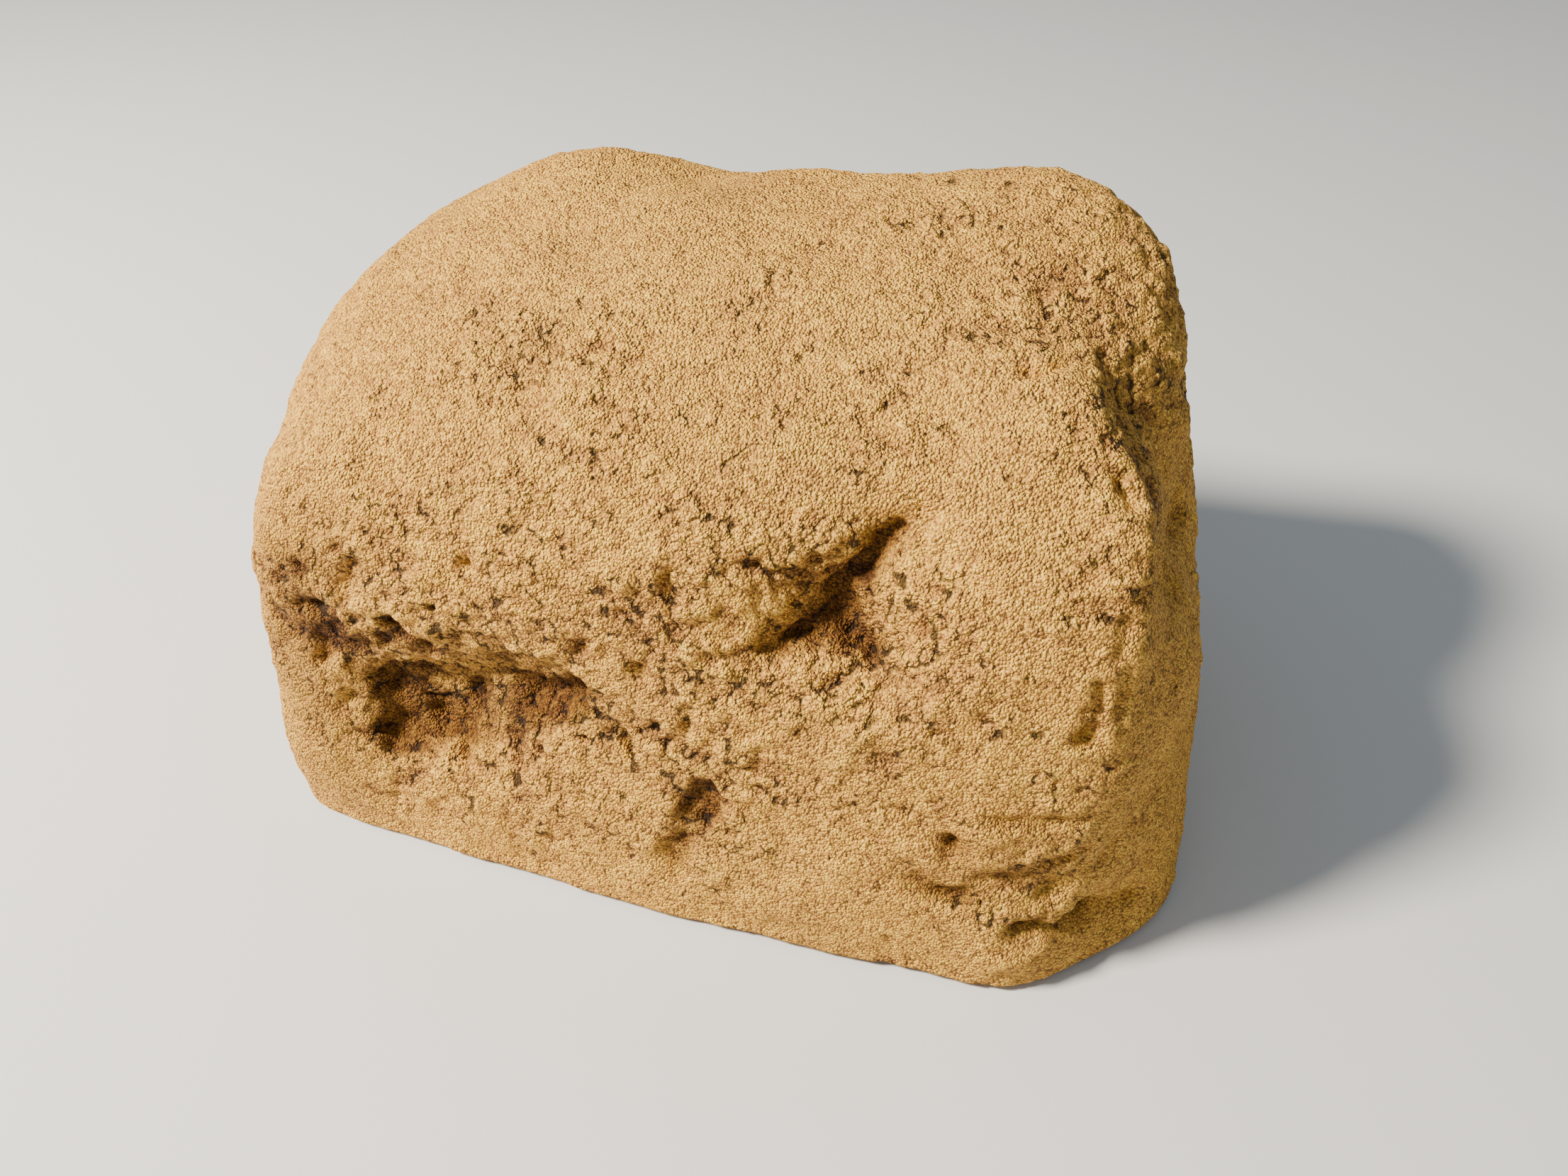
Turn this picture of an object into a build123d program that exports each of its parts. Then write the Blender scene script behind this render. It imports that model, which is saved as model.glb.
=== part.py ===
from build123d import *
import os
import numpy as np

# Hollow sandstone-look cave for a pond: a sand-filled resin face coat over a glass-mat lining,
# open underneath, with a separately cast cave mouth in its back.
# Millimetres; +Z up, -Y is the broad front, z = 0 is the ground under the rubber pads.

COAT = 7.0  # thickness of the textured face coat
MAT = 3.0  # thickness of the glass-mat lining
LIFT = 2.0  # height of the shell's lower edge above the ground
BELOW = 12.0  # how far a cutter runs past the lower edge
BOND = 0.2  # bond line between the coat and the lining
RIM_BOND = 0.7  # bond line between the lining and the rim band
SPANS = 4  # surface points for each corner of an outline, and for each level
CROWN_SPANS = 9  # steps from the last outline to the crown, whose last three are one flat

RIM_WIDE = 16.0  # the rim band inside the lower edge
RIM_HIGH = 20.0
PAD_LONG, PAD_WIDE, PAD_DEEP = 28.0, 9.0, 8.0  # rubber foot pads let into the rim's underside
PAD_AT = [0.0, 2.5, 5.4, 8.8, 12.2, 13.2]  # their places, counted in corners along the lowest outline

THROAT = 6.0  # wall of the cave mouth's sleeve
MOUTH_X = 28.0  # middle of the cave mouth, in the back
MOUTH_INNER_Y = 58.0  # where the sleeve ends inside
PAST_BACK = 160.0  # a Y beyond the boulder's back
ARCH = [(-50, -BELOW), (-50, 0), (-54, 28), (-43, 60), (-14, 80), (20, 77), (46, 55), (54, 26), (49, 0),
        (49, -BELOW)]  # the sleeve's opening, (x from its middle, height)

LUG_WIDE = 34.0  # steel brackets for ground pegs
LUG_THICK = 3.0
LUG_HIGH = 18.0
LUG_END = 11.0  # peg hole to the free end
LUG_WALL = 16.0  # peg hole to the upright's inner face
LUG_CORNER = 7.0  # rounding of the free end
PEG_HOLE_R = 4.5
LUGS = [(-92, -84, 180), (72, -84, 180), (-128, -20, 83), (133, -20, -75)]  # (hole x, hole y, turn to face the wall)

SCREW_R = 2.0
SCREW_LONG = 10.0
SCREW_HOLE_R = 2.2
SCREW_OUT = 10.0  # screws to each side of a bracket's middle
SCREW_UP = 11.0
HEAD_R, HEAD_HIGH = 4.0, 2.4
CROSS_LONG, CROSS_WIDE, CROSS_DEEP = 4.4, 1.0, 1.3

# The boulder's outline at rising levels above its lower edge. Each row is (height at its front
# side, height at its back side, the outline's corners from the left front corner round by the
# front, the right and the back).
OUTLINES = [
    (0, 0, [(-154, -116), (-93, -124), (-33, -126), (26, -126), (81, -124), (126, -116), (160, -92), (177, -57),
            (170, -5), (147, 58), (99, 112), (17, 112), (-76, 91), (-150, 38), (-168, -23), (-165, -80)]),
    (36, 36, [(-156, -112), (-99, -118), (-37, -120), (25, -120), (82, -119), (133, -111), (160, -81), (174, -42),
              (173, 8), (153, 66), (104, 120), (17, 120), (-80, 97), (-158, 45), (-175, -20), (-171, -78)]),
    (75, 75, [(-159, -105), (-102, -107), (-40, -108), (24, -111), (84, -110), (138, -99), (157, -68), (167, -27),
              (168, 16), (153, 70), (106, 122), (17, 122), (-80, 100), (-162, 50), (-178, -18), (-173, -74)]),
    (113, 118, [(-156, -99), (-101, -103), (-40, -104), (22, -101), (80, -99), (136, -91), (151, -63), (158, -30),
                (159, 16), (149, 66), (105, 118), (18, 118), (-79, 99), (-158, 54), (-178, -14), (-172, -69)]),
    (143, 166, [(-145, -86), (-94, -90), (-40, -92), (18, -89), (76, -84), (134, -76), (144, -54), (149, -28),
                (149, 10), (139, 54), (102, 104), (19, 106), (-74, 95), (-155, 60), (-173, -6), (-164, -57)]),
    (163, 192, [(-124, -64), (-84, -70), (-37, -71), (14, -67), (68, -62), (126, -55), (134, -40), (139, -18),
                (141, 12), (134, 50), (99, 94), (20, 92), (-76, 90), (-142, 57), (-157, 4), (-148, -36)]),
    (178, 205, [(-94, -34), (-64, -40), (-30, -42), (12, -40), (52, -38), (96, -32), (108, -22), (117, -5),
                (120, 18), (117, 50), (84, 77), (17, 74), (-62, 72), (-112, 52), (-126, 14), (-117, -16)]),
]
CROWN = (2.0, 16.0)  # the middle of the top
CROWN_RISE = 8.0  # how far the top domes above the plane of its last outline

# Bosses and hollows in the boulder's skin: (middle, radius, how far it stands out).
RELIEF = {
    "back left knob": ((-92, 68, 203), 30, 5),
    "dip in the back": ((-44, 70, 203), 22, -6),
    "back right corner": ((90, 62, 205), 45, 9),
    "ridge top": ((105, -28, 187), 30, 7),
    "right foot": ((160, -44, 96), 26, 6),
    "right flank hollow": ((138, -12, 168), 28, -9),
    "right flank notch": ((155, -36, 129), 20, -8),
    "right flank notch, back": ((156, 0, 129), 22, -7),
    "valley middle": ((50, -96, 133), 22, -15),
    "valley upper end": ((69, -86, 157), 16, -10),
    "valley lower end": ((64, -97, 122), 16, -7),
    "valley left end": ((30, -100, 117), 18, -6),
    "left brow": ((-92, -98, 104), 26, 3),
    "left hollow": ((-103, -103, 59), 21, -15),
    "left hollow middle": ((-74, -104, 69), 22, -12),
    "left hollow right end": ((-45, -105, 79), 16, -7),
    "left foot": ((-148, -108, 28), 28, 4),
    "toe": ((124, -120, 8), 20, 4),
    "hollow beside the toe": ((150, -96, 24), 18, -5),
}


def catmull(before, start, end, after, t):
    """A point between start and end on the smooth curve through all four."""
    return 0.5 * (
        2 * start + (end - before) * t + (2 * before - 5 * start + 4 * end - after) * t**2
        + (3 * start - before - 3 * end + after) * t**3
    )


def level_ring(front, back, corners):
    """One outline on its tilted plane, with SPANS points for each corner."""
    flat = np.array(corners, float)
    reach = flat[:, 1].max() - flat[:, 1].min()
    heights = front + (back - front) * (flat[:, 1] - flat[:, 1].min()) / reach
    ring = np.column_stack([flat, heights])
    made = []
    for i in range(len(ring)):
        four = [ring[(i + k) % len(ring)] for k in (-1, 0, 1, 2)]
        made += [catmull(*four, s / SPANS) for s in range(SPANS)]
    return np.array(made)


def outward(grid):
    """The unit normal at each point of the grid."""
    around = np.roll(grid, -1, axis=1) - np.roll(grid, 1, axis=1)
    half = grid.shape[1] // 2
    over = np.concatenate([grid[1:], np.roll(grid[-1:], half, axis=1)])
    under = np.concatenate([2 * grid[:1] - grid[1:2], grid[:-1]])
    normal = np.cross(around, over - under)
    return normal / np.linalg.norm(normal, axis=2, keepdims=True)


def dome(ring, part):
    """The last outline drawn in towards the crown; part is 1 at the outline and 0 at the crown."""
    tilt = np.polyfit(ring[:, 1], ring[:, 2], 1)
    plan = np.array(CROWN) + (ring[:, :2] - CROWN) * part
    return np.column_stack([plan, np.polyval(tilt, plan[:, 1]) + CROWN_RISE * (1 - part**2)])


def boulder_grid():
    """Rings of points from the lower edge to the flat on the crown, each running the same way round."""
    rings = [level_ring(*row) for row in OUTLINES]
    stack = [2 * rings[0] - rings[1], *rings, dome(rings[-1], 1 - 2 / CROWN_SPANS)]
    made = []
    for k in range(1, len(rings)):
        made += [catmull(*stack[k - 1 : k + 3], s / SPANS) for s in range(SPANS)]
    made += [dome(rings[-1], 1 - s / CROWN_SPANS) for s in range(CROWN_SPANS - 2)]
    grid = np.array(made)
    rise = sum(out * np.exp(-(((grid - middle) / radius) ** 2).sum(axis=2)) for middle, radius, out in RELIEF.values())
    return grid + outward(grid) * rise[:, :, None]


def ring_edge(ring):
    """A closed smooth curve through a ring of points, evenly spaced in its own measure."""
    knots = [i / len(ring) for i in range(len(ring) + 1)]
    return Edge.make_spline([tuple(p) for p in ring], periodic=True, parameters=knots)


def flattened(ring):
    """A ring moved up or down onto the plane that fits it best."""
    plane, *_ = np.linalg.lstsq(np.column_stack([ring[:, :2], np.ones(len(ring))]), ring[:, 2], rcond=None)
    return np.column_stack([ring[:, :2], ring[:, :2] @ plane[:2] + plane[2]])


def skin_rings(inset):
    """The boulder's outside moved in by inset, as rings of points; the first and the last are flat."""
    grid = boulder_grid()
    moved = grid - outward(grid) * inset
    moved[0, :, 2] = 0
    moved[-1] = flattened(moved[-1])
    return moved


def skin_solid(inset, past_edge):
    """The skin at inset as a closed solid that ends past_edge below the lower edge."""
    rings = skin_rings(inset)
    if past_edge:
        rings = np.concatenate([rings[:1] - [0, 0, past_edge], rings])
    return Solid.make_loft([Wire([ring_edge(ring)]) for ring in rings])


def shell_between(outer, inner):
    """The closed layer between two insets, ending flat at the lower edge."""
    skins = [skin_solid(inset, 0).faces().sort_by(Axis.Z)[1:] for inset in (outer, inner)]
    lines = [Wire([ring_edge(skin_rings(inset)[0])]) for inset in (outer, inner)]
    return Solid(Shell([*skins[0], *skins[1], Face(lines[0], [lines[1]])]))


def edge_line(inset):
    """The lowest outline drawn in by about inset, and its direction at each point, in degrees."""
    ring = boulder_grid()[0][:, :2]
    low, high = ring.min(axis=0), ring.max(axis=0)
    middle, half = (low + high) / 2, (high - low) / 2
    along = np.roll(ring, -1, axis=0) - np.roll(ring, 1, axis=0)
    return middle + (ring - middle) * (1 - inset / half), np.degrees(np.arctan2(along[:, 1], along[:, 0]))


def slab(low, high):
    """A flat block wider than the boulder, from one height to another."""
    return Pos(0, 0, low) * Box(600, 600, high - low, align=(Align.CENTER, Align.CENTER, Align.MIN))


def arch_block(grow, start, end):
    """The cave mouth's outline moved out by grow, filled and drawn along Y from start to end."""
    line = np.array(ARCH, float)
    along = np.gradient(line, axis=0)
    along /= np.linalg.norm(along, axis=1, keepdims=True)
    line = line + np.column_stack([-along[:, 1], along[:, 0]]) * grow
    points = [(MOUTH_X + x, start, z) for x, z in line]
    face = Face(Wire([Edge.make_spline(points), Edge.make_line(points[-1], points[0])]))
    return Solid.extrude(face, Vector(0, end - start, 0))


def foot_pads():
    """The rubber pads, each along the rim."""
    line, turns = edge_line(COAT + MAT + RIM_WIDE / 2)
    pad = extrude(SlotOverall(PAD_LONG, PAD_WIDE), PAD_DEEP)
    pad = fillet(pad.edges().group_by(Axis.Z)[0], 1)
    places = [round(corner * SPANS) for corner in PAD_AT]
    return [Pos(*line[i], -LIFT) * Rot(0, 0, turns[i]) * pad for i in places]


def lug_blank():
    """A bracket without its holes: peg hole's middle at the origin, wall towards +Y."""
    long = LUG_END + LUG_WALL + LUG_THICK
    foot = Pos(0, -LUG_END, 0) * Box(LUG_WIDE, long, LUG_THICK, align=(Align.CENTER, Align.MIN, Align.MIN))
    ends = foot.edges().filter_by(Axis.Z).group_by(Axis.Y)[0]
    upright = Box(LUG_WIDE, LUG_THICK, LUG_HIGH, align=(Align.CENTER, Align.MIN, Align.MIN))
    return fillet(ends, LUG_CORNER) + Pos(0, LUG_WALL, 0) * upright


def lug_seat():
    """The open notch that a bracket takes out of the rim band."""
    long = LUG_END + LUG_WALL + LUG_THICK
    return Pos(0, -LUG_END, 0) * Box(LUG_WIDE, long, RIM_HIGH, align=(Align.CENTER, Align.MIN, Align.MIN))


def lug_screw_places():
    """Where a bracket's two screws bear on its upright, pointing at the wall."""
    return [Pos(side * SCREW_OUT, LUG_WALL, SCREW_UP) * Rot(-90, 0, 0) for side in (-1, 1)]


def lug():
    """A bracket with its peg hole and screw holes."""
    made = lug_blank() - Cylinder(PEG_HOLE_R, 3 * LUG_THICK)
    for place in lug_screw_places():
        made -= place * Cylinder(SCREW_HOLE_R, 3 * LUG_THICK)
    return made


def shank():
    """A screw's shank, down from the underside of its head."""
    return Cylinder(SCREW_R, SCREW_LONG, align=(Align.CENTER, Align.CENTER, Align.MIN))


def screw():
    """A pan-head screw with a cross recess; its head bears on z = 0 and its shank points up."""
    head = Pos(0, 0, -HEAD_HIGH) * Cylinder(HEAD_R, HEAD_HIGH, align=(Align.CENTER, Align.CENTER, Align.MIN))
    head = fillet(head.edges().group_by(Axis.Z)[0], 0.6 * HEAD_HIGH)
    for turn in (0, 90):
        bar = Box(CROSS_LONG, CROSS_WIDE, CROSS_DEEP, align=(Align.CENTER, Align.CENTER, Align.MIN))
        head -= Pos(0, 0, -HEAD_HIGH) * Rot(0, 0, turn) * bar
    return head + shank()


def rim_band(mouth):
    """The thick band inside the lower edge, broken by the cave mouth."""
    line, _ = edge_line(COAT + MAT + RIM_WIDE)
    core = Face(Wire([ring_edge([(x, y, -BELOW) for x, y in line])]))
    filled = skin_solid(COAT + MAT + RIM_BOND, BELOW) & slab(0, RIM_HIGH)
    return filled - Solid.extrude(core, Vector(0, 0, 3 * BELOW)) - mouth


def build():
    """Every node's solids by name, in the boulder's own frame: z = 0 is the shell's lower edge."""
    mouth = arch_block(THROAT, MOUTH_INNER_Y, PAST_BACK)
    opening = arch_block(0, MOUTH_INNER_Y - 1, PAST_BACK + 1)
    made = {
        "face_coat": [shell_between(0, COAT) - mouth],
        "mat_lining": [shell_between(COAT + BOND, COAT + MAT) - mouth],
        "cave_throat": [(mouth & skin_solid(0, 0)) - opening],
    }
    rim = rim_band(mouth)
    for i, pad in enumerate(foot_pads()):
        made[f"foot_pad_{i + 1}"] = [pad]
        rim -= pad
    made["lug_screws"] = []
    for i, (x, y, turn) in enumerate(LUGS):
        place = Pos(x, y, 0) * Rot(0, 0, turn)
        made[f"peg_lug_{i + 1}"] = [place * lug()]
        rim -= place * lug_seat()
        for seat in lug_screw_places():
            made["lug_screws"].append(place * seat * screw())
            rim -= place * seat * shank()
    made["rim_band"] = [rim]
    return made


def main():
    os.makedirs("parts", exist_ok=True)
    made = build()
    middle = made["face_coat"][0].bounding_box().center()
    shift = Pos(-middle.X, -middle.Y, LIFT)
    print("moved by", shift.position)
    for name, solids in made.items():
        placed = [shift * solid for solid in solids]
        export_step(placed[0] if len(placed) == 1 else Compound(children=placed), f"parts/{name}.step")


main()
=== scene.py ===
import bpy
import math
import numpy as np
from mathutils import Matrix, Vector


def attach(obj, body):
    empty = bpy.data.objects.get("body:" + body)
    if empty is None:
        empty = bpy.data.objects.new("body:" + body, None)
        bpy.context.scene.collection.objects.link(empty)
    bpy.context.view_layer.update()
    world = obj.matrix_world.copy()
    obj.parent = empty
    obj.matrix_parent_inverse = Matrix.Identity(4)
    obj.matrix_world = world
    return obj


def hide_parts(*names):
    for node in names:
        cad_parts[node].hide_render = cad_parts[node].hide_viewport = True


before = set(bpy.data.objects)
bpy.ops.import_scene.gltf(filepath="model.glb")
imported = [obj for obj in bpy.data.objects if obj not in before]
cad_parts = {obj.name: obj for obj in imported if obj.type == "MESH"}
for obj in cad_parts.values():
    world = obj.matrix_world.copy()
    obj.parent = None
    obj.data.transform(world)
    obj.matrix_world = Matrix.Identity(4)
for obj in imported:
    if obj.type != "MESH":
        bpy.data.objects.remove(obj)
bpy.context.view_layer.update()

# A hollow cave of sand-filled resin, in the model's own frame: +Z up, -Y is the broad front.
# Lengths are in metres unless a comment gives them in millimetres.
MM = 0.001
SEED = 7
VOXEL = 1.8 * MM  # spacing of the rock's mesh
DEEPEST, HIGHEST = -6.3, 2.0  # how far the rock's skin may move, in millimetres
FACES_KEPT = 0.54  # share of the rock's faces that stay when its inner side is thinned
UNMOVED = 0.01  # skin weighed less than this is the inner side

# The camera: where it stands and which way it looks.
CAMERA_AT = (0.1165, -0.3567, 0.372)
CAMERA_DOWN = 40.0  # degrees below the horizon
CAMERA_TURN = 17.0  # degrees from +Y towards -X
CAMERA_LENS, CAMERA_SENSOR = 27.0, 36  # millimetres
CAMERA_NEAR = 0.02

# The stage: a pale floor, the sky's soft light and one lamp to the front left.
FLOOR_HALF = 6.0
FLOOR_COLOUR = (0.62, 0.61, 0.59, 1)
SKY_COLOUR, SKY_STRENGTH = (0.80, 0.91, 1.0, 1), 0.42
LAMP_AT, LAMP_AIM = (-1.2, -0.75, 1.4), (0, 0, 0.1)
LAMP_COLOUR = (1.0, 0.93, 0.82)
LAMP_WATTS, LAMP_SIZE = 134, 0.4

MOUTH_X, MOUTH_Z = 28.8, 30.0  # the middle of the cave mouth, in millimetres

# Sloping beds show low on the right of the front: their middle, reach and thickness in millimetres.
BEDS_AT, BEDS_REACH = (118, -105, 52), (52, 60, 32)
BED_TILT = (0.16, 0.05, -1.0)
BED_THICKNESS = 6.5
BED_STRETCH = 0.12  # sideways distances are shrunk by this, so the beds run long

# The cast sand: the sizes of its grains and crumbs in millimetres, and its colours.
GRAIN, SMALL_GRAIN = 0.96, 0.55
CRUMB, LUMP = 3.2, 6.5
SAND_TONES = (  # the two ends first, then the tones between them
    (0.0, (0.125, 0.052, 0.013)),
    (1.0, (1.0, 0.75, 0.17)),
    (0.25, (0.35, 0.150, 0.034)),
    (0.45, (0.60, 0.285, 0.056)),
    (0.62, (0.78, 0.395, 0.060)),
    (0.80, (0.93, 0.545, 0.075)),
)
SAND_GREY = (0.28, 0.155, 0.040, 1)
# Painted shade between the grains.
GAP_SHADE_COLOUR = (0.066, 0.031, 0.009, 1)
# Part dirt, part painted shade in the recesses.
DIRT_AND_SHADE_COLOUR = (0.275, 0.222, 0.168, 1)
# Painted shade in the crevices between crumbs.
HOLE_SHADE_COLOUR = (0.018, 0.009, 0.004, 1)

# The rock's own features, in millimetres: (start, end, radius, how far the skin stands out).
FEATURES = {
    "valley wall": ((62, -71, 151), (44, -81, 127), 6, -2.4),
    "valley crevice": ((66, -70, 154), (54, -77, 141), 3.0, -4.6),
    "valley crevice, upper end": ((69, -68, 157), (80, -65, 160), 2.6, -3.0),
    "valley crevice, middle": ((54, -77, 140), (50, -79, 126), 5, -3.4),
    "valley crevice, left end": ((38, -87, 118), (27, -94, 112), 3, -4.6),
    "valley foot": ((56, -82, 120), (63, -85, 117), 3.4, -6.0),
    "valley foot, left": ((51, -81, 121), (42, -86, 117), 4, -3.4),
    "valley pit": ((-1, -95, 137), (1, -97, 131), 3, -3.0),
    "front pit": ((-11, -106, 101), (-9, -106, 99), 3, -4.0),
    "front pit, lower": ((-19, -109, 76), (-18, -110, 71), 3.6, -5.2),
    "right face crack": ((134, -90, 122), (138, -94, 105), 2.2, -2.2),
    "valley brow": ((46, -77, 148), (24, -88, 128), 10, 1.6),
    "valley floor": ((70, -79, 136), (66, -82, 126), 9, 1.4),
    "ridge": ((106, -23, 190), (127, -44, 174), 8, 1.8),
    "ridge, lower": ((132, -54, 167), (138, -76, 148), 9, 1.6),
    "ridge crevice": ((95, -27, 190), (106, -21, 191), 3.2, -3.6),
    "ridge pits": ((128, -50, 171), (132, -54, 166), 3.5, -4.6),
    "facet": ((128, -14, 178), (146, -8, 150), 13, -3.6),
    "flank notch": ((154, -34, 128), (156, 10, 124), 6, -4.0),
    "left crevice": ((-104, -106, 99), (-90, -103, 89), 2.8, -5.2),
    "left brow": ((-112, -100, 80), (-74, -102, 84), 8, 1.2),
    "left hollow wall": ((-114, -101, 68), (-112, -110, 46), 5.5, -5.0),
    "left hollow floor": ((-108, -106, 51), (-86, -105, 55), 5.5, -4.2),
    "left hollow, right end": ((-58, -100, 74), (-36, -103, 84), 4.2, -5.0),
    "left hollow roof": ((-80, -100, 76), (-56, -100, 80), 5, -2.2),
    "left upper crack": ((-116, -102, 121), (-120, -106, 109), 3, -3.6),
    "left end crack": ((-135, -107, 84), (-136, -108, 74), 2.8, -3.6),
    "left end dent": ((-130, -110, 64), (-128, -110, 61), 4, -2.6),
    "low pit": ((14, -115, 61), (12, -116, 56), 5.2, -6.4),
    "low pit chute": ((9, -118, 50), (3, -123, 27), 5.5, -3.8),
    "low pit chute, right": ((16, -118, 50), (22, -120, 41), 3.5, -2.4),
    "low pit lip": ((20, -115, 66), (24, -117, 52), 5, 1.4),
    "right pit": ((98, -113, 64), (99, -113, 60), 3, -5.0),
    "right edge pit": ((134, -95, 107), (134, -95, 103), 2.8, -4.4),
    "left end pits": ((-132, -106, 99), (-141, -106, 97), 2.8, -4.0),
    "left upper pit": ((-74, -100, 131), (-69, -102, 126), 2.8, -3.8),
    "left foot pit": ((-84, -111, 47), (-83, -112, 45), 2.8, -4.0),
    "low pit, right": ((16, -116, 56), (16, -116, 54), 2.8, -4.0),
    "right pit surround": ((86, -112, 70), (101, -114, 56), 6.5, -2.2),
    "right row of pits": ((110, -108, 72), (132, -103, 74), 3, -3.6),
    "right face ledge": ((88, -118, 45), (100, -118, 39), 5, -2.8),
    "right face step": ((100, -118, 38), (133, -110, 45), 7, -3.4),
    "right face step, end": ((133, -110, 45), (152, -92, 54), 6, -3.2),
    "right face crevice": ((112, -116, 48), (138, -105, 58), 2.6, -2.6),
    "right face bulge": ((96, -113, 60), (134, -103, 72), 9, 2.0),
    "toe undercut": ((127, -116, 29), (146, -98, 25), 4, -6.4),
    "toe undercut, back": ((146, -98, 25), (161, -84, 19), 4, -4.0),
    "toe": ((118, -121, 14), (148, -102, 14), 8, 1.8),
    "right face edge": ((137, -78, 139), (143, -89, 108), 2.4, -2.0),
    "left pocket": ((-97, -104, 56), (-93, -104, 50), 4, -4.6),
    "left pocket, middle": ((-80, -96, 68), (-78, -97, 66), 3, -4.6),
    "low groove": ((9, -108, 91), (2, -111, 74), 3, -2.4),
    "foot dent": ((-112, -121, 22), (-106, -121, 20), 5, -2.6),
    "lower edge step": ((-70, -124, 8), (-46, -125, 6), 8, -2.4),
    "back left step": ((-120, 60, 150), (-96, 84, 132), 9, -3.4),
    "back left crevice": ((-62, 96, 150), (-74, 96, 118), 3.6, -5.2),
    "back shelf": ((-60, 98, 92), (-16, 112, 100), 8, 1.8),
    "back hollow": ((-92, 90, 66), (-70, 98, 58), 12, -5.0),
    "back right crevice": ((112, 112, 120), (126, 96, 88), 3.8, -5.0),
    "left side crevice": ((-176, -24, 70), (-170, 14, 84), 4, -4.8),
    "left side hollow": ((-168, 34, 110), (-162, 44, 86), 13, -4.8),
    "right side hollow": ((172, 20, 62), (166, 38, 52), 12, -4.2),
    "right side crevice": ((164, 30, 96), (158, 52, 110), 3.6, -4.8),
}

# Where the skin is knobbly rather than smooth: (middle, radius, how knobbly).
KNOBBLY = {
    "front brow": ((-40, -92, 125), 62, 0.55),
    "front brow, left": ((-120, -95, 100), 45, 0.65),
    "left hollow": ((-80, -104, 68), 50, 0.95),
    "valley": ((45, -88, 122), 42, 0.85),
    "below the valley": ((10, -108, 92), 40, 0.6),
    "low pit": ((12, -118, 45), 24, 0.7),
    "right face": ((110, -100, 82), 42, 0.35),
    "toe": ((130, -108, 40), 30, 0.35),
    "ridge": ((128, -50, 165), 34, 0.7),
    "top right": ((114, 30, 188), 48, 1.0),
    "top": ((30, -20, 195), 60, 0.15),
    "back": ((40, 115, 130), 60, 0.5),
    "back left": ((-110, 80, 90), 50, 0.6),
    "left side": ((-170, 0, 80), 50, 0.5),
    "right side": ((165, 30, 80), 45, 0.45),
}

# Brown dirt settled in the recesses, mixed with painted shade in the hollows, in the crevices and on walls
# turned from the lamp: (start, end, radius, strength).
DIRT_AND_SHADE_STROKES = {
    "left brow, underside": ((-132, -107, 90), (-40, -104, 80), 8, 0.55),
    "left hollow wall": ((-112, -101, 66), (-111, -111, 47), 9, 0.9),
    "left hollow": ((-106, -104, 58), (-88, -105, 54), 14, 0.75),
    "left hollow, right end": ((-60, -102, 70), (-36, -102, 84), 9, 0.75),
    "left hollow, middle": ((-84, -103, 64), (-60, -103, 66), 12, 0.55),
    "left shoulder": ((-140, -104, 112), (-134, -108, 92), 10, 0.5),
    "left end": ((-152, -108, 78), (-131, -120, 28), 20, 0.46),
    "left face": ((-150, -96, 116), (-122, -95, 134), 24, 0.36),
    "front face": ((-40, -104, 84), (0, -108, 66), 20, 0.22),
    "right face": ((108, -106, 92), (124, -112, 44), 24, 0.16),
    "left crevice": ((-104, -106, 99), (-90, -103, 89), 5, 0.7),
    "valley wall": ((64, -72, 152), (46, -81, 124), 7, 0.62),
    "valley": ((56, -78, 136), (54, -81, 124), 8, 0.5),
    "valley foot": ((54, -83, 120), (24, -94, 112), 6, 0.6),
    "valley foot, right": ((54, -83, 118), (66, -84, 116), 6, 0.7),
    "low pit": ((14, -115, 62), (11, -117, 55), 7, 0.9),
    "low pit chute": ((9, -118, 50), (3, -123, 27), 7, 0.45),
    "toe undercut": ((124, -117, 31), (148, -98, 26), 6, 0.45),
    "right pit": ((99, -113, 64), (99, -114, 58), 6, 0.6),
    "right face ledge": ((88, -118, 44), (106, -117, 38), 7, 0.5),
    "right row of pits": ((110, -108, 72), (134, -102, 74), 5, 0.45),
    "flank notch": ((154, -34, 128), (156, 8, 124), 9, 0.3),
    "back hollow": ((-92, 90, 66), (-70, 98, 58), 15, 0.5),
    "back left crevice": ((-62, 96, 150), (-74, 96, 118), 7, 0.6),
    "left side hollow": ((-168, 34, 110), (-162, 44, 86), 12, 0.28),
}


# ---------------------------------------------------------------- noise

def lattice(cell, seed):
    """A repeatable random number from 0 to 1 for each whole-numbered cell."""
    # Large multipliers scramble the cell's numbers into evenly spread bits.
    x, y, z = (cell[:, i].astype(np.int64) & 0xFFFFFFFF for i in range(3))
    h = (x * 374761393 + y * 668265263 + z * 2147483647 + seed * 144269504) & 0xFFFFFFFF
    h = ((h ^ (h >> 13)) * 1274126177) & 0xFFFFFFFF
    return ((h ^ (h >> 16)) & 0xFFFFFF) / float(0xFFFFFF)


def noise(points, size, seed):
    """Smooth noise from -1 to 1, its lumps about size across."""
    scaled = points / size
    low = np.floor(scaled)
    part = scaled - low
    part = part * part * part * (part * (part * 6 - 15) + 10)
    total = np.zeros(len(points))
    for corner in np.ndindex(2, 2, 2):
        weight = np.prod(np.where(corner, part, 1 - part), axis=1)
        total += weight * lattice(low + corner, seed)
    return total * 2 - 1


def layered(points, size, seed):
    """Noise, plus half as much noise at half the size."""
    return noise(points, size, seed) + 0.5 * noise(points, size / 2, seed + 31)


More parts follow.
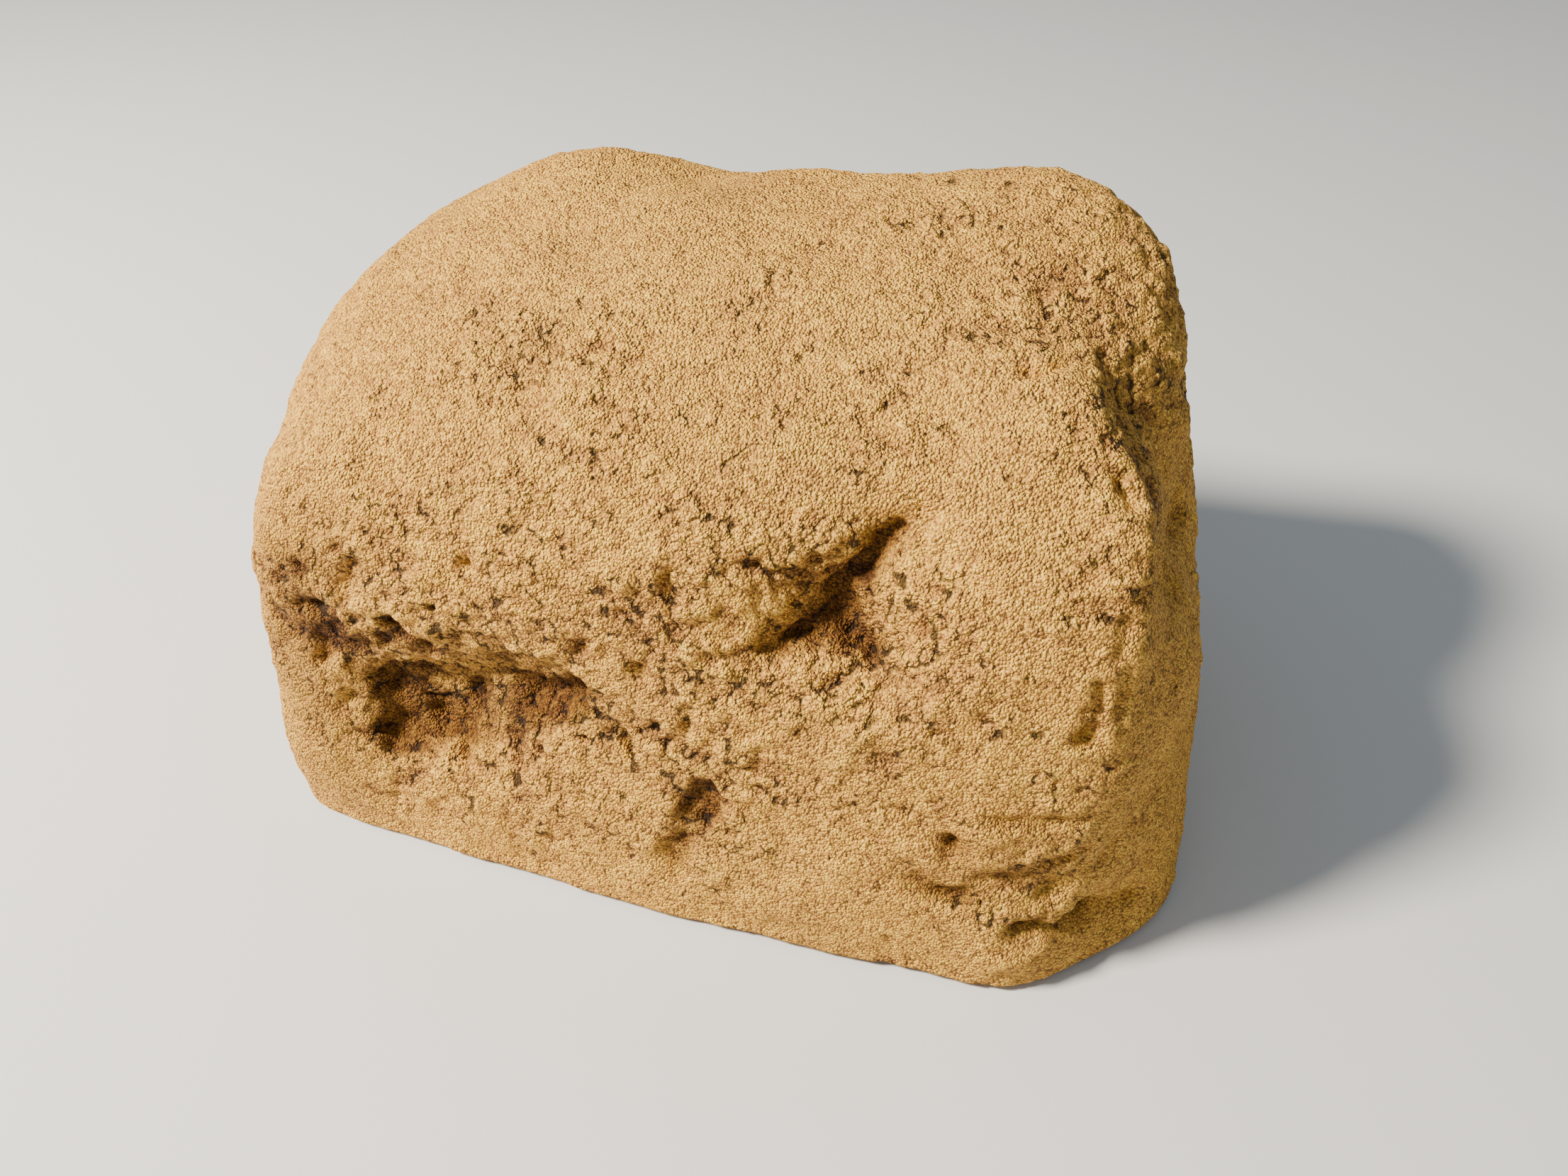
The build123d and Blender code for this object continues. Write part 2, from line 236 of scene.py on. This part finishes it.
def nearest_seed(points, size, seed):
    """Scatters one seed in each cell; gives the distance to the nearest and that seed's own number."""
    scaled = points / size
    low = np.floor(scaled)
    best = np.full(len(points), 9.0)
    own = np.zeros(len(points))
    for step in np.ndindex(3, 3, 3):
        cell = low + step - 1
        jitter = np.column_stack([lattice(cell, seed + k) for k in (1, 2, 3)])
        apart = np.linalg.norm(cell + 0.5 + 0.8 * (jitter - 0.5) - scaled, axis=1)
        closer = apart < best
        best = np.where(closer, apart, best)
        own = np.where(closer, lattice(cell, seed + 4), own)
    return best * size, own


def knobs(points, size, seed, share):
    """Rounded lumps from 0 to 1, in this share of the cells."""
    apart, own = nearest_seed(points, size, seed)
    radius = size * (0.42 + 0.22 * (own / share))
    dome = np.sqrt(np.clip(1 - (apart / radius) ** 2, 0, 1))
    return np.where(own < share, dome, 0)


def pits(points, size, seed, share):
    """Steep-sided pits from 0 to 1, in this share of the cells."""
    apart, own = nearest_seed(points, size, seed)
    radius = size * (0.22 + 0.2 * (own / share))
    return np.where(own < share, np.clip(1.35 - (apart / radius) ** 2, 0, 1), 0)


def near_line(points, start, end):
    """Distance from each point to a straight stretch, all in millimetres."""
    start, end = np.array(start, float), np.array(end, float)
    along = end - start
    reach = max(float(along @ along), 1e-9)
    part = np.clip(((points - start) @ along) / reach, 0, 1)
    return np.linalg.norm(points - start - part[:, None] * along, axis=1)


def patches(points, places):
    """The sum of soft round patches, each (middle, radius, strength)."""
    out = np.zeros(len(points))
    for middle, radius, strength in places.values():
        out += strength * np.exp(-(((points - middle) / radius) ** 2).sum(axis=1))
    return out


# ---------------------------------------------------------------- the rock's relief

def along_lines(points, places):
    """The sum of soft round-ended strokes, each (start, end, radius, strength), with ragged edges."""
    bent = points + 2.4 * np.column_stack([layered(points, 11, SEED + 60 + k) for k in range(3)])
    out = np.zeros(len(points))
    for start, end, radius, strength in places.values():
        out += strength * np.exp(-((near_line(bent, start, end) / radius) ** 2))
    return out


def grooves(points, size, width, seed):
    """Branching grooves from 0 to 1 between lumps about this size."""
    return np.clip(1 - np.abs(noise(points, size, seed)) / width, 0, 1)


def rock_skin(points):
    """How far the rock's skin stands out, how deep it lies in its own grain, its dirt and painted shade, and
    its crumbling.

    Each term is a height times a pattern of a given size across, both in millimetres.
    """
    bent = points + 5 * np.column_stack([noise(points, 26, SEED + k) for k in (1, 2, 3)])
    rough = np.clip(0.14 + patches(points, KNOBBLY) + 0.22 * noise(points, 45, SEED + 5), 0.08, 1.0)
    clumps = np.clip(0.5 + 1.3 * noise(points, 18, SEED + 90), 0, 1)
    lumps = 1.1 * layered(bent, 60, SEED + 10) + 0.9 * layered(bent, 22, SEED + 20)
    crumbs = 1.3 * knobs(bent, 13, SEED + 30, 0.4) + 1.0 * knobs(points, 7.5, SEED + 40, 0.45)
    crumbs += 0.7 * knobs(points, 5, SEED + 50, 0.5) - 0.8
    holes = 2.6 * pits(bent, 12, SEED + 70, 0.2) + 2.2 * pits(points, 7.5, SEED + 80, 0.22)
    holes += 1.9 * grooves(bent, 17, 0.16, SEED + 130) + 1.2 * grooves(points, 9, 0.2, SEED + 140)
    grain = 0.75 * noise(points, 4.2, SEED + 100) + 0.55 * noise(points, 2.8, SEED + 110)
    tilted = points @ np.array([BED_TILT]).T
    flattened = np.column_stack([points[:, :2] * BED_STRETCH, tilted])
    beds = noise(flattened, BED_THICKNESS, SEED + 120)
    low_right = np.exp(-(((points - BEDS_AT) / BEDS_REACH) ** 2).sum(axis=1))
    fine = rough * (crumbs - holes * clumps) + (0.4 + 0.6 * rough) * grain + 0.8 * low_right * beds
    own = along_lines(points, FEATURES)
    # Dirt and painted shade along the strokes, plus painted shade wherever the rock's own features sink
    # deepest.
    dirt_and_shade = along_lines(points, DIRT_AND_SHADE_STROKES) + 0.9 * np.clip(-own / 6 - 0.35, 0, 0.6)
    return own + lumps + fine - 0.1, fine, dirt_and_shade, rough * (0.4 + 0.6 * clumps)


def read_points(mesh):
    """The mesh's points, in millimetres, and its normals."""
    flat = np.empty(len(mesh.vertices) * 3, np.float32)
    mesh.vertices.foreach_get("co", flat)
    points = flat.reshape(-1, 3).astype(float) / MM
    mesh.vertices.foreach_get("normal", flat)
    return points, flat.reshape(-1, 3).astype(float)


def write_points(mesh, points):
    mesh.vertices.foreach_set("co", (points * MM).astype(np.float32).ravel())
    mesh.update()


def write_value(mesh, name, values):
    layer = mesh.attributes.new(name, "FLOAT", "POINT")
    layer.data.foreach_set("value", values.astype(np.float32))


def above_foot(points):
    """1 over most of the rock, fading where it meets the ground so that its edge stays flat."""
    return 0.15 + 0.85 * np.clip((points[:, 2] - 2) / 5, 0, 1)


def roughen(mesh, weigh, low, high):
    """Moves a mesh's skin in and out with the rock's relief where weigh(points, normals) is above 0."""
    points, normals = read_points(mesh)
    weight = weigh(points, normals)
    rise, fine, dirt_and_shade, crumble = rock_skin(points)
    rise = np.clip(rise, low, high) * weight * above_foot(points)
    moved = points + normals * rise[:, None]
    moved[:, 2] = np.maximum(moved[:, 2], points[:, 2].min())
    write_points(mesh, moved)
    write_value(mesh, "grain_depth", fine)
    write_value(mesh, "dirt_and_shade", dirt_and_shade)
    write_value(mesh, "crumble", crumble)
    return weight


def rock_outside(points, normals):
    """1 on the rock's outer side and 0 on its inner side."""
    away = points - (0, 0, 70)
    away /= np.linalg.norm(away, axis=1, keepdims=True)
    return np.clip(((normals * away).sum(axis=1) + 0.05) / 0.3, 0, 1)


def mouth_skin(points, normals):
    """1 on the cave mouth's outer end, less in its opening and at its inner end, 0 against the shell."""
    across = points[:, [0, 2]] - (MOUTH_X, MOUTH_Z)
    across /= np.linalg.norm(across, axis=1, keepdims=True)
    inwards = -(normals[:, [0, 2]] * across).sum(axis=1)
    return np.clip(np.maximum.reduce([normals[:, 1], 0.45 * inwards, -0.3 * normals[:, 1]]), 0, 1)


def evened(node, name, voxel):
    """A copy of a CAD node's mesh rebuilt with small even faces."""
    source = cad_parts[node]
    draft = bpy.data.objects.new(name + "_draft", source.data.copy())
    bpy.context.scene.collection.objects.link(draft)
    change = draft.modifiers.new("even", "REMESH")
    change.mode = "VOXEL"
    change.voxel_size = voxel
    seen = draft.evaluated_get(bpy.context.evaluated_depsgraph_get())
    mesh = bpy.data.meshes.new_from_object(seen)
    bpy.data.objects.remove(draft)
    mesh.name = name
    mesh.materials.clear()
    piece = bpy.data.objects.new(name, mesh)
    bpy.context.scene.collection.objects.link(piece)
    mesh.shade_smooth()
    return piece


def changed(piece, kind, **settings):
    """Applies one modifier to a piece."""
    change = piece.modifiers.new("change", kind)
    for name, value in settings.items():
        setattr(change, name, value)
    seen = piece.evaluated_get(bpy.context.evaluated_depsgraph_get())
    mesh = bpy.data.meshes.new_from_object(seen)
    piece.modifiers.clear()
    mesh.name = piece.name
    piece.data = mesh


# ---------------------------------------------------------------- materials

class Look:
    """A node material under construction."""

    def __init__(self, name, roughness, metallic=0.0):
        self.made = bpy.data.materials.new(name)
        self.made.use_nodes = True
        self.tree = self.made.node_tree
        self.shader = self.tree.nodes["Principled BSDF"]
        self.shader.inputs["Roughness"].default_value = roughness
        self.shader.inputs["Metallic"].default_value = metallic
        self.place = self.tree.nodes.new("ShaderNodeTexCoord").outputs["Object"]

    def put(self, socket, value):
        """Links an output to a socket, or sets the socket to a plain value."""
        if isinstance(value, bpy.types.NodeSocket):
            self.tree.links.new(value, socket)
        else:
            socket.default_value = value

    def math(self, kind, a, b=0.0, c=0.0):
        node = self.tree.nodes.new("ShaderNodeMath")
        node.operation = kind
        for socket, value in zip(node.inputs, (a, b, c)):
            self.put(socket, value)
        return node.outputs[0]

    def span(self, value, low, high, start=0.0, end=1.0):
        """Maps low..high smoothly onto start..end."""
        node = self.tree.nodes.new("ShaderNodeMapRange")
        node.interpolation_type = "SMOOTHSTEP"
        for socket, given in zip(node.inputs, (value, low, high, start, end)):
            self.put(socket, given)
        return node.outputs[0]

    def stretched(self, scale, turn=(0, 0, 0)):
        """The object's coordinates in millimetres, turned and stretched."""
        node = self.tree.nodes.new("ShaderNodeMapping")
        node.inputs["Scale"].default_value = [s / MM for s in scale]
        node.inputs["Rotation"].default_value = [math.radians(a) for a in turn]
        self.put(node.inputs["Vector"], self.place)
        return node.outputs[0]

    def shifted(self, amount, reach):
        """The object's coordinates in millimetres, pushed about by up to this reach."""
        node = self.tree.nodes.new("ShaderNodeVectorMath")
        node.operation = "MULTIPLY_ADD"
        self.put(node.inputs[0], self.place)
        node.inputs[1].default_value = (1 / MM,) * 3
        push = self.math("MULTIPLY", self.math("SUBTRACT", amount, 0.5), 2 * reach)
        self.put(node.inputs[2], push)
        return node.outputs[0]

    def noise(self, size, detail=2.0, rough=0.5, place=None):
        """Noise from 0 to 1, its lumps about size millimetres across."""
        node = self.tree.nodes.new("ShaderNodeTexNoise")
        self.put(node.inputs["Vector"], self.place if place is None else place)
        node.inputs["Scale"].default_value = 1 / (size * MM) if place is None else 1 / size
        node.inputs["Detail"].default_value = detail
        node.inputs["Roughness"].default_value = rough
        return node.outputs["Fac"]

    def cells(self, size, place=None):
        """Distance to the nearest cell's middle, and that cell's own number."""
        node = self.tree.nodes.new("ShaderNodeTexVoronoi")
        self.put(node.inputs["Vector"], self.place if place is None else place)
        node.inputs["Scale"].default_value = 1 / (size * MM) if place is None else 1 / size
        apart = self.tree.nodes.new("ShaderNodeSeparateColor")
        self.put(apart.inputs[0], node.outputs["Color"])
        return node.outputs["Distance"], apart.outputs[0]

    def value(self, name):
        """A number stored on the mesh's points."""
        node = self.tree.nodes.new("ShaderNodeAttribute")
        node.attribute_name = name
        return node.outputs["Fac"]

    def mix(self, part, a, b, kind="MIX"):
        node = self.tree.nodes.new("ShaderNodeMix")
        node.data_type = "RGBA"
        node.blend_type = kind
        self.put(node.inputs["Factor"], part)
        self.put(node.inputs["A"], a)
        self.put(node.inputs["B"], b)
        return node.outputs["Result"]

    def ramp(self, value, *stops):
        """A colour for each value; each stop is (value, colour)."""
        node = self.tree.nodes.new("ShaderNodeValToRGB")
        line = node.color_ramp
        for k, (at, colour) in enumerate(stops):
            stop = line.elements[k] if k < 2 else line.elements.new(at)
            stop.position = at
            stop.color = (*colour, 1)
        self.put(node.inputs[0], value)
        return node.outputs["Color"]

    def colour(self, value):
        self.put(self.shader.inputs["Base Color"], value)

    def roughness(self, value):
        self.put(self.shader.inputs["Roughness"], value)

    def bump(self, height, depth):
        """Bumps of this depth in millimetres where height is 1."""
        node = self.tree.nodes.new("ShaderNodeBump")
        node.inputs["Strength"].default_value = 1.0
        node.inputs["Distance"].default_value = depth * MM
        self.put(node.inputs["Height"], height)
        self.put(self.shader.inputs["Normal"], node.outputs[0])


def sand_look(name):
    """Coarse sand cast in resin: pale grains, painted shade in the gaps between grains and in the crevices,
    crumbling patches, and dirt mixed with painted shade in the hollows.
    """
    look = Look(name, 0.9)
    look.shader.inputs["Specular IOR Level"].default_value = 0.2
    depth, dirt_and_shade, crumble = (look.value(each) for each in ("grain_depth", "dirt_and_shade", "crumble"))
    broad = look.noise(34, 3)
    patch = look.noise(9, 3, 0.6)
    fleck = look.noise(2.4, 3, 0.65)
    bend = look.shifted(look.noise(5, 2), 2.2)
    apart, own = look.cells(GRAIN)
    small, small_own = look.cells(SMALL_GRAIN)
    crumb, crumb_own = look.cells(CRUMB, bend)
    lump, _ = look.cells(LUMP, bend)
    low = look.math("MULTIPLY_ADD", look.math("SUBTRACT", 0.5, fleck), 0.5, apart)
    gap = look.span(low, 0.55, 0.88)
    grain = look.span(apart, 0.66, 0.1)
    small_grain = look.span(small, 0.6, 0.1)
    crumb_high = look.span(crumb, 0.72, 0.15)
    lump_high = look.span(lump, 0.78, 0.2)

    # Crevices run between the crumbs where the rock crumbles.
    crumbly = look.math("MULTIPLY_ADD", crumble, 0.5, look.math("SUBTRACT", 0.62, patch))
    coarse = look.span(crumbly, 0.24, 0.44)
    edge = look.math("MULTIPLY_ADD", look.math("SUBTRACT", fleck, 0.5), 0.5, crumb)
    crevice = look.math("MULTIPLY", look.span(edge, 0.60, 0.76), look.span(lump, 0.36, 0.62))
    hole = look.math("MULTIPLY", crevice, coarse)

    height = look.math("MULTIPLY", grain, 0.95)
    height = look.math("MULTIPLY_ADD", small_grain, 0.25, height)
    height = look.math("MULTIPLY_ADD", fleck, 0.7, height)
    height = look.math("MULTIPLY_ADD", look.math("MULTIPLY", crumb_high, coarse), 1.5, height)
    height = look.math("MULTIPLY_ADD", look.math("MULTIPLY", lump_high, coarse), 1.6, height)
    height = look.math("MULTIPLY_ADD", hole, -2.2, height)
    height = look.math("MULTIPLY_ADD", gap, -0.4, height)
    look.bump(height, 0.7)

    tone = look.math("MULTIPLY", own, 0.42)
    tone = look.math("MULTIPLY_ADD", small_own, 0.18, tone)
    tone = look.math("MULTIPLY_ADD", crumb_own, 0.08, tone)
    tone = look.math("MULTIPLY_ADD", fleck, 0.28, tone)
    tone = look.math("MULTIPLY_ADD", patch, 0.16, tone)
    tone = look.math("MULTIPLY_ADD", broad, 0.16, tone)
    # Painted shade: the tone darkens where the grain lies deep.
    tone = look.math("MULTIPLY_ADD", look.span(depth, -3.4, 0.6), 0.40, tone)
    tone = look.math("SUBTRACT", tone, 0.45)
    shade = look.ramp(tone, *SAND_TONES)
    grey = look.span(look.noise(48, 4, 0.6), 0.50, 0.72, 0.0, 0.2)
    shade = look.mix(grey, shade, SAND_GREY)
    # Painted shade: the gaps between grains are darkened almost to black.
    shade = look.mix(look.math("MULTIPLY", gap, 0.8), shade, GAP_SHADE_COLOUR)

    # Dirt and painted shade have a ragged edge: they keep to the gaps and leave the crumbs' tops.
    ragged = look.math("MULTIPLY_ADD", look.math("SUBTRACT", fleck, 0.5), 0.7, dirt_and_shade)
    ragged = look.math("MULTIPLY_ADD", look.math("SUBTRACT", patch, 0.5), 0.7, ragged)
    ragged = look.math("MULTIPLY_ADD", look.span(depth, 0.2, -3.0), 0.3, ragged)
    dirt_and_shade_part = look.math("MULTIPLY", look.span(ragged, 0.12, 1.05), look.span(dirt_and_shade, 0.03, 0.25))
    # Painted shade and dirt darken the recesses.
    shade = look.mix(dirt_and_shade_part, shade, DIRT_AND_SHADE_COLOUR, "MULTIPLY")
    # Painted shade: the crevices between crumbs are painted near black.
    shade = look.mix(look.math("MULTIPLY", hole, 0.88), shade, HOLE_SHADE_COLOUR)
    look.colour(shade)
    look.roughness(look.span(own, 0.0, 1.0, 0.95, 0.72))
    return look.made


# ---------------------------------------------------------------- pieces

def hand_over(piece, look, node):
    """Gives a finished piece its material and its place in the model."""
    piece.data.materials.append(look)
    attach(piece, "root")
    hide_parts(node)


def rock():
    """The face coat, with its relief; its hidden inner side is made of fewer faces."""
    piece = evened("face_coat", "rock_face", VOXEL)
    weight = roughen(piece.data, rock_outside, DEEPEST, HIGHEST)
    inner = piece.vertex_groups.new(name="inner")
    inner.add([int(i) for i in np.flatnonzero(weight < UNMOVED)], 1.0, "REPLACE")
    changed(piece, "DECIMATE", ratio=FACES_KEPT, vertex_group="inner", use_collapse_triangulate=False)
    hand_over(piece, sand_look("cast_sand"), "face_coat")


def mouth():
    """The cave mouth's sleeve, its lip rounded and its skin as rough as the rock's."""
    piece = evened("cave_throat", "cave_mouth_sleeve", VOXEL)
    changed(piece, "SMOOTH", factor=0.5, iterations=3)
    roughen(piece.data, mouth_skin, DEEPEST, HIGHEST)
    hand_over(piece, sand_look("mouth_sand"), "cave_throat")


def finish(start, look):
    """Gives a material to the CAD nodes whose names start like this; they keep their CAD shapes."""
    for name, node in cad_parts.items():
        if name.startswith(start):
            for slot in node.material_slots:
                slot.material = look


def mat_look():
    """Laminating resin brushed over chopped glass strands: pale strands under an amber gloss."""
    look = Look("glass_mat", 0.35)
    starved = look.noise(18, 2)
    strands = None
    for turn in ((10, 20, 15), (75, 10, 60), (30, 80, 110), (120, 35, 150)):
        place = look.stretched((0.035, 0.75, 0.75), turn)
        line = look.span(look.noise(1.0, 1, 0.4, place), 0.60, 0.70)
        strands = line if strands is None else look.math("MAXIMUM", strands, line)
    cloud = look.noise(26, 4, 0.6)
    drip = look.noise(5, 2)
    shade = look.ramp(cloud, (0.25, (0.26, 0.18, 0.075)), (0.75, (0.50, 0.38, 0.20)))
    shade = look.mix(look.math("MULTIPLY", strands, 0.5), shade, (0.72, 0.64, 0.44, 1))
    dry = look.span(starved, 0.62, 0.75, 0.0, 0.6)
    shade = look.mix(dry, shade, (0.66, 0.58, 0.42, 1))
    look.colour(shade)
    height = look.math("MULTIPLY_ADD", drip, 0.8, look.math("MULTIPLY", strands, 0.5))
    look.bump(look.math("MULTIPLY_ADD", cloud, 1.5, height), 0.5)
    look.roughness(look.math("MULTIPLY_ADD", dry, 0.5, look.span(cloud, 0.3, 0.8, 0.16, 0.36)))
    return look.made


def rim_look():
    """Filled resin trowelled by hand: streaks, pinholes and trapped sand."""
    look = Look("rim_resin", 0.7)
    streak = look.noise(1.0, 3, 0.55, look.stretched((0.05, 0.05, 0.35)))
    cloud = look.noise(14, 4, 0.6)
    speck = look.noise(1.1, 2, 0.6)
    hole, own = look.cells(3.4)
    pin = look.math("MULTIPLY", look.span(hole, 0.22, 0.12), look.span(own, 0.55, 0.6))
    tone = look.math("MULTIPLY_ADD", streak, 0.5, look.math("MULTIPLY", cloud, 0.5))
    shade = look.ramp(
        tone,
        (0.3, (0.19, 0.145, 0.090)),
        (0.7, (0.42, 0.34, 0.23)),
        (0.5, (0.30, 0.235, 0.150)),
    )
    shade = look.mix(look.span(speck, 0.60, 0.72, 0.0, 0.7), shade, (0.55, 0.38, 0.18, 1))
    # Painted shade: the pinholes are painted near black.
    shade = look.mix(pin, shade, (0.045, 0.032, 0.020, 1))
    look.colour(shade)
    height = look.math("MULTIPLY_ADD", streak, 1.2, look.math("MULTIPLY", speck, 0.25))
    look.bump(look.math("MULTIPLY_ADD", pin, -0.9, height), 0.6)
    look.roughness(look.span(tone, 0.3, 0.7, 0.52, 0.8))
    return look.made


def rubber_look():
    """Moulded rubber, greyed by dust and scuffed where it stands."""
    look = Look("pad_rubber", 0.75)
    fine = look.noise(0.5, 3, 0.6)
    cloud = look.noise(6, 4, 0.65)
    dust = look.span(look.math("MULTIPLY_ADD", fine, 0.4, cloud), 0.55, 0.95, 0.0, 0.5)
    shade = look.ramp(cloud, (0.3, (0.016, 0.016, 0.017)), (0.7, (0.040, 0.039, 0.038)))
    look.colour(look.mix(dust, shade, (0.20, 0.165, 0.115, 1)))
    look.bump(fine, 0.08)
    look.roughness(look.span(dust, 0.0, 0.5, 0.55, 0.92))
    return look.made


def galvanised_look():
    """Hot-dip galvanised steel: spangle, with chalky patches where it has been wet."""
    look = Look("lug_steel", 0.4, 1.0)
    _, spangle = look.cells(4.5, look.shifted(look.noise(3, 2), 1.2))
    _, small = look.cells(1.6)
    cloud = look.noise(7, 5, 0.65)
    fine = look.noise(0.35, 2)
    tone = look.math("MULTIPLY_ADD", spangle, 0.6, look.math("MULTIPLY", small, 0.4))
    shade = look.ramp(tone, (0.1, (0.36, 0.38, 0.40)), (0.9, (0.68, 0.70, 0.72)), (0.5, (0.52, 0.54, 0.56)))
    chalk = look.span(cloud, 0.55, 0.68, 0.0, 0.75)
    shade = look.mix(chalk, shade, (0.60, 0.61, 0.59, 1))
    look.colour(shade)
    look.put(look.shader.inputs["Metallic"], look.span(chalk, 0.0, 0.75, 1.0, 0.35))
    look.bump(look.math("MULTIPLY_ADD", fine, 0.3, tone), 0.05)
    look.roughness(look.math("MULTIPLY_ADD", chalk, 0.4, look.span(tone, 0.1, 0.9, 0.45, 0.28)))
    return look.made


def zinc_look():
    """Bright zinc plating with a faint blue and straw tint, dulled in places."""
    look = Look("screw_steel", 0.3, 1.0)
    cloud = look.noise(2.5, 4, 0.6)
    fine = look.noise(0.25, 2)
    shade = look.ramp(cloud, (0.3, (0.50, 0.54, 0.60)), (0.7, (0.68, 0.64, 0.54)), (0.5, (0.62, 0.63, 0.64)))
    look.colour(shade)
    look.bump(fine, 0.03)
    look.roughness(look.span(cloud, 0.35, 0.7, 0.22, 0.5))
    return look.made


# ---------------------------------------------------------------- stage

def floor():
    mesh = bpy.data.meshes.new("floor")
    half = FLOOR_HALF
    corners = [(-half, -half, 0), (half, -half, 0), (half, half, 0), (-half, half, 0)]
    mesh.from_pydata(corners, [], [(0, 1, 2, 3)])
    piece = bpy.data.objects.new("floor", mesh)
    bpy.context.scene.collection.objects.link(piece)
    look = Look("floor", 0.9)
    look.colour(FLOOR_COLOUR)
    mesh.materials.append(look.made)


def lights():
    world = bpy.data.worlds.new("studio")
    bpy.context.scene.world = world
    world.use_nodes = True
    sky = world.node_tree.nodes["Background"]
    sky.inputs["Color"].default_value = SKY_COLOUR
    sky.inputs["Strength"].default_value = SKY_STRENGTH
    lamp = bpy.data.lights.new("key", "AREA")
    lamp.shape = "DISK"
    lamp.size = LAMP_SIZE
    lamp.energy = LAMP_WATTS
    lamp.color = LAMP_COLOUR
    key = bpy.data.objects.new("key", lamp)
    bpy.context.scene.collection.objects.link(key)
    key.location = LAMP_AT
    key.rotation_mode = "QUATERNION"
    key.rotation_quaternion = (key.location - Vector(LAMP_AIM)).to_track_quat("Z", "Y")


def camera():
    lens = bpy.data.cameras.new("camera")
    lens.sensor_width = CAMERA_SENSOR
    lens.lens = CAMERA_LENS
    lens.clip_start = CAMERA_NEAR
    eye = bpy.data.objects.new("camera", lens)
    bpy.context.scene.collection.objects.link(eye)
    eye.location = CAMERA_AT
    eye.rotation_euler = (math.radians(90 - CAMERA_DOWN), 0, math.radians(CAMERA_TURN))
    bpy.context.scene.camera = eye


camera()
floor()
lights()
rock()
mouth()
finish("mat_lining", mat_look())
finish("rim_band", rim_look())
finish("foot_pad_", rubber_look())
finish("peg_lug_", galvanised_look())
finish("lug_screws", zinc_look())
